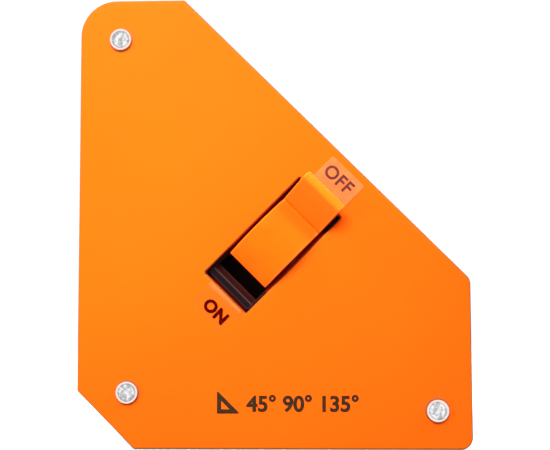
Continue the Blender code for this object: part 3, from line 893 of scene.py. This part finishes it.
def make_labels(films, inks):
    """The ON and OFF label films with their lettering."""
    front = -PLATE_LOW.y + LABEL_LIFT
    lift = front + LABEL_THICKNESS + INK_LIFT
    levels = edge_levels(front + LABEL_THICKNESS, front, LABEL_THICKNESS / 3, 2)
    facing = Matrix((SHAFT_LINE, ALONG, FRONT)).transposed().to_4x4()

    def laid(x, y, height):
        return ROTOR @ Vector((x, height, y))

    for node, name, words in (("off_label", "off_film", "OFF"), ("on_label", "on_film", "ON")):
        vertices = [ROTOR_BACK @ v.co for v in frame["nodes"][node].data.vertices]
        low = Vector([min(v[i] for v in vertices) for i in range(3)])
        high = Vector([max(v[i] for v in vertices) for i in range(3)])
        corners = [
            (low.x, low.z, LABEL_CORNER), (high.x, low.z, LABEL_CORNER),
            (high.x, high.z, LABEL_CORNER), (low.x, high.z, LABEL_CORNER),
        ]
        film = loft(name, rounded(corners, 6), [], levels, laid, films[node])
        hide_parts(node)
        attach(film, "square")
        along, across, size, weight, spacing = LETTERING[words]
        place = Matrix.Translation(ROTOR @ Vector((along, lift, across))) @ facing
        printed = "lettering_" + words.lower()
        lettering(printed, words, size, place, inks[node], weight, spacing)


def make_angle_figures(ink):
    """A printed set-square outline and the three angles that the square holds."""
    front = -PLATE_LOW.y + INK_LIFT
    corner_x, corner_z, side = FIGURES_LEFT, FIGURES_BOTTOM, SET_SQUARE_SIDE
    outer = [(corner_x, corner_z), (corner_x + side, corner_z), (corner_x, corner_z + side)]
    outline = rounded([(x, z, SET_SQUARE_CORNER) for x, z in outer], 3)
    hole = shrunk(outer, SET_SQUARE_STROKE)
    levels = [(0.0, front + INK_THICKNESS), (0.0, front)]
    mark = loft("set_square_print", outline, [hole], levels, upright, ink)
    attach(mark, "square")
    facing = Matrix((Vector((1, 0, 0)), Vector((0, 0, 1)), FRONT)).transposed().to_4x4()
    spot = Vector((FIGURES_MIDDLE, -front - INK_THICKNESS / 2, corner_z + FIGURES_HEIGHT / 2))
    place = Matrix.Translation(spot) @ facing
    figures = "45\u00b0 90\u00b0 135\u00b0"
    lettering("angle_figures", figures, FIGURES_SIZE, place, ink, FIGURES_WEIGHT)


# ---------------------------------------------------------------- studio

def make_camera():
    """The camera, square on to the front from a little to the right of the middle."""
    camera = bpy.data.cameras.new("camera")
    camera.lens = CAMERA_LENS
    camera.sensor_width = 36
    camera.clip_start = 0.01
    camera.clip_end = 20
    holder = bpy.data.objects.new("camera", camera)
    yaw = Matrix.Rotation(CAMERA_YAW, 4, "Z")
    pitch = Matrix.Rotation(math.pi / 2 + CAMERA_PITCH, 4, "X")
    roll = Matrix.Rotation(CAMERA_ROLL, 4, "Z")
    holder.matrix_world = Matrix.Translation(CAMERA_PLACE) @ yaw @ pitch @ roll
    bpy.context.scene.collection.objects.link(holder)
    bpy.context.scene.camera = holder


def area_light(name, place, target, size, power, spread):
    """A soft light that faces target and that no surface mirrors."""
    light = bpy.data.lights.new(name, "AREA")
    light.shape = "RECTANGLE"
    light.size, light.size_y = size
    light.energy = power
    light.spread = math.radians(spread)
    holder = bpy.data.objects.new(name, light)
    holder.location = place
    aim = Vector(target) - Vector(place)
    holder.rotation_euler = aim.to_track_quat("-Z", "Y").to_euler()
    holder.visible_glossy = False
    bpy.context.scene.collection.objects.link(holder)


def make_floor(paper):
    """A pale floor that curves up behind the object and sends no light back to it."""
    mesh = bpy.data.meshes.new("studio_floor")
    body = bmesh.new()
    turn = FLOOR_BACK - FLOOR_BEND
    profile = [(FLOOR_FRONT, 0.0), (turn, 0.0)]
    profile += [
        (turn + FLOOR_BEND * math.sin(a), FLOOR_BEND - FLOOR_BEND * math.cos(a))
        for a in [math.pi / 2 * i / 12 for i in range(1, 13)]
    ]
    profile.append((FLOOR_BACK, FLOOR_TOP))
    level = PLATE_LOW.z - FLOOR_DROP
    rows = [[body.verts.new((x, y, level + z)) for x in (-FLOOR_REACH, FLOOR_REACH)] for y, z in profile]
    for first, second in zip(rows, rows[1:]):
        body.faces.new((first[0], first[1], second[1], second[0]))
    body.to_mesh(mesh)
    body.free()
    mesh.materials.append(paper)
    mesh.shade_smooth()
    floor = bpy.data.objects.new("studio_floor", mesh)
    bpy.context.scene.collection.objects.link(floor)
    floor.visible_diffuse = False
    floor.visible_glossy = False


def make_world():
    """A white world, at full strength to the camera only."""
    world = bpy.data.worlds.new("studio")
    world.use_nodes = True
    tree = world.node_tree
    background = tree.nodes["Background"]
    rays = tree.nodes.new("ShaderNodeLightPath").outputs
    strength = WORLD_FILL
    for ray, extra in (("Is Camera Ray", 1.0 - WORLD_FILL), ("Is Glossy Ray", WORLD_GLOSS - WORLD_FILL)):
        step = tree.nodes.new("ShaderNodeMath")
        step.operation = "MULTIPLY_ADD"
        tree.links.new(rays[ray], step.inputs[0])
        step.inputs[1].default_value = extra
        if hasattr(strength, "links"):
            tree.links.new(strength, step.inputs[2])
        else:
            step.inputs[2].default_value = strength
        strength = step.outputs["Value"]
    tree.links.new(strength, background.inputs["Strength"])
    background.inputs["Color"].default_value = (1, 1, 1, 1)
    bpy.context.scene.world = world


def paint_frame_nodes(finishes):
    """Give every node that still shows its finish, by the record's material slots."""
    for part in frame["record"]["subparts"]:
        mesh = frame["nodes"][part["node"]].data
        finish = finishes[part["material_slot"]]
        if mesh.materials:
            for i in range(len(mesh.materials)):
                mesh.materials[i] = finish
        else:
            mesh.materials.append(finish)


def make_all():
    """Make every piece of the picture."""
    bpy.context.scene.view_settings.view_transform = "Standard"
    make_camera()
    coat, plastic, nylon = powder_coat(), lever_plastic(), black_nylon()
    aluminium, bright, ground = cast_aluminium(), bright_steel(), ground_steel()
    films = {
        "off_label": label_film("off_label_film", (0.84, 0.140, 0.037), 0.85),
        "on_label": label_film("on_label_film", (0.90, 0.145, 0.028), 0.04, ON_STRIP),
    }
    inks = {
        "off_label": print_ink("off_label_ink", (0.075, 0.022, 0.018), (0.12, 0.035, 0.028)),
        "on_label": print_ink("on_label_ink", (0.040, 0.0010, 0.0004), (0.060, 0.0020, 0.0008)),
    }
    paint_frame_nodes({
        "powder_orange": coat,
        "plastic_orange": plastic,
        "black_nylon": nylon,
        "cast_aluminium": aluminium,
        "bright_steel": bright,
        "plain_steel": ground,
        "nickel": plated("magnet_nickel", (0.58, 0.57, 0.54), (0.70, 0.69, 0.66), 0.14, 0.26),
        "brass": plated("brass_strip", (0.62, 0.40, 0.14), (0.76, 0.54, 0.24), 0.26, 0.4),
        "bronze": plated("bush_bronze", (0.44, 0.25, 0.12), (0.58, 0.35, 0.18), 0.38, 0.52),
        "clear_film": films["off_label"],
    })
    make_plates(coat)
    make_edge_frame(aluminium)
    for seed, node in enumerate(RIVETS):
        make_rivet(node, seed)
    make_lever(plastic)
    make_housing(nylon)
    make_labels(films, inks)
    make_angle_figures(print_ink("plate_ink", (0.022, 0.013, 0.006), (0.042, 0.024, 0.010)))
    make_floor(studio_paper())
    make_world()
    for light in LIGHTS:
        area_light(*light)


make_all()
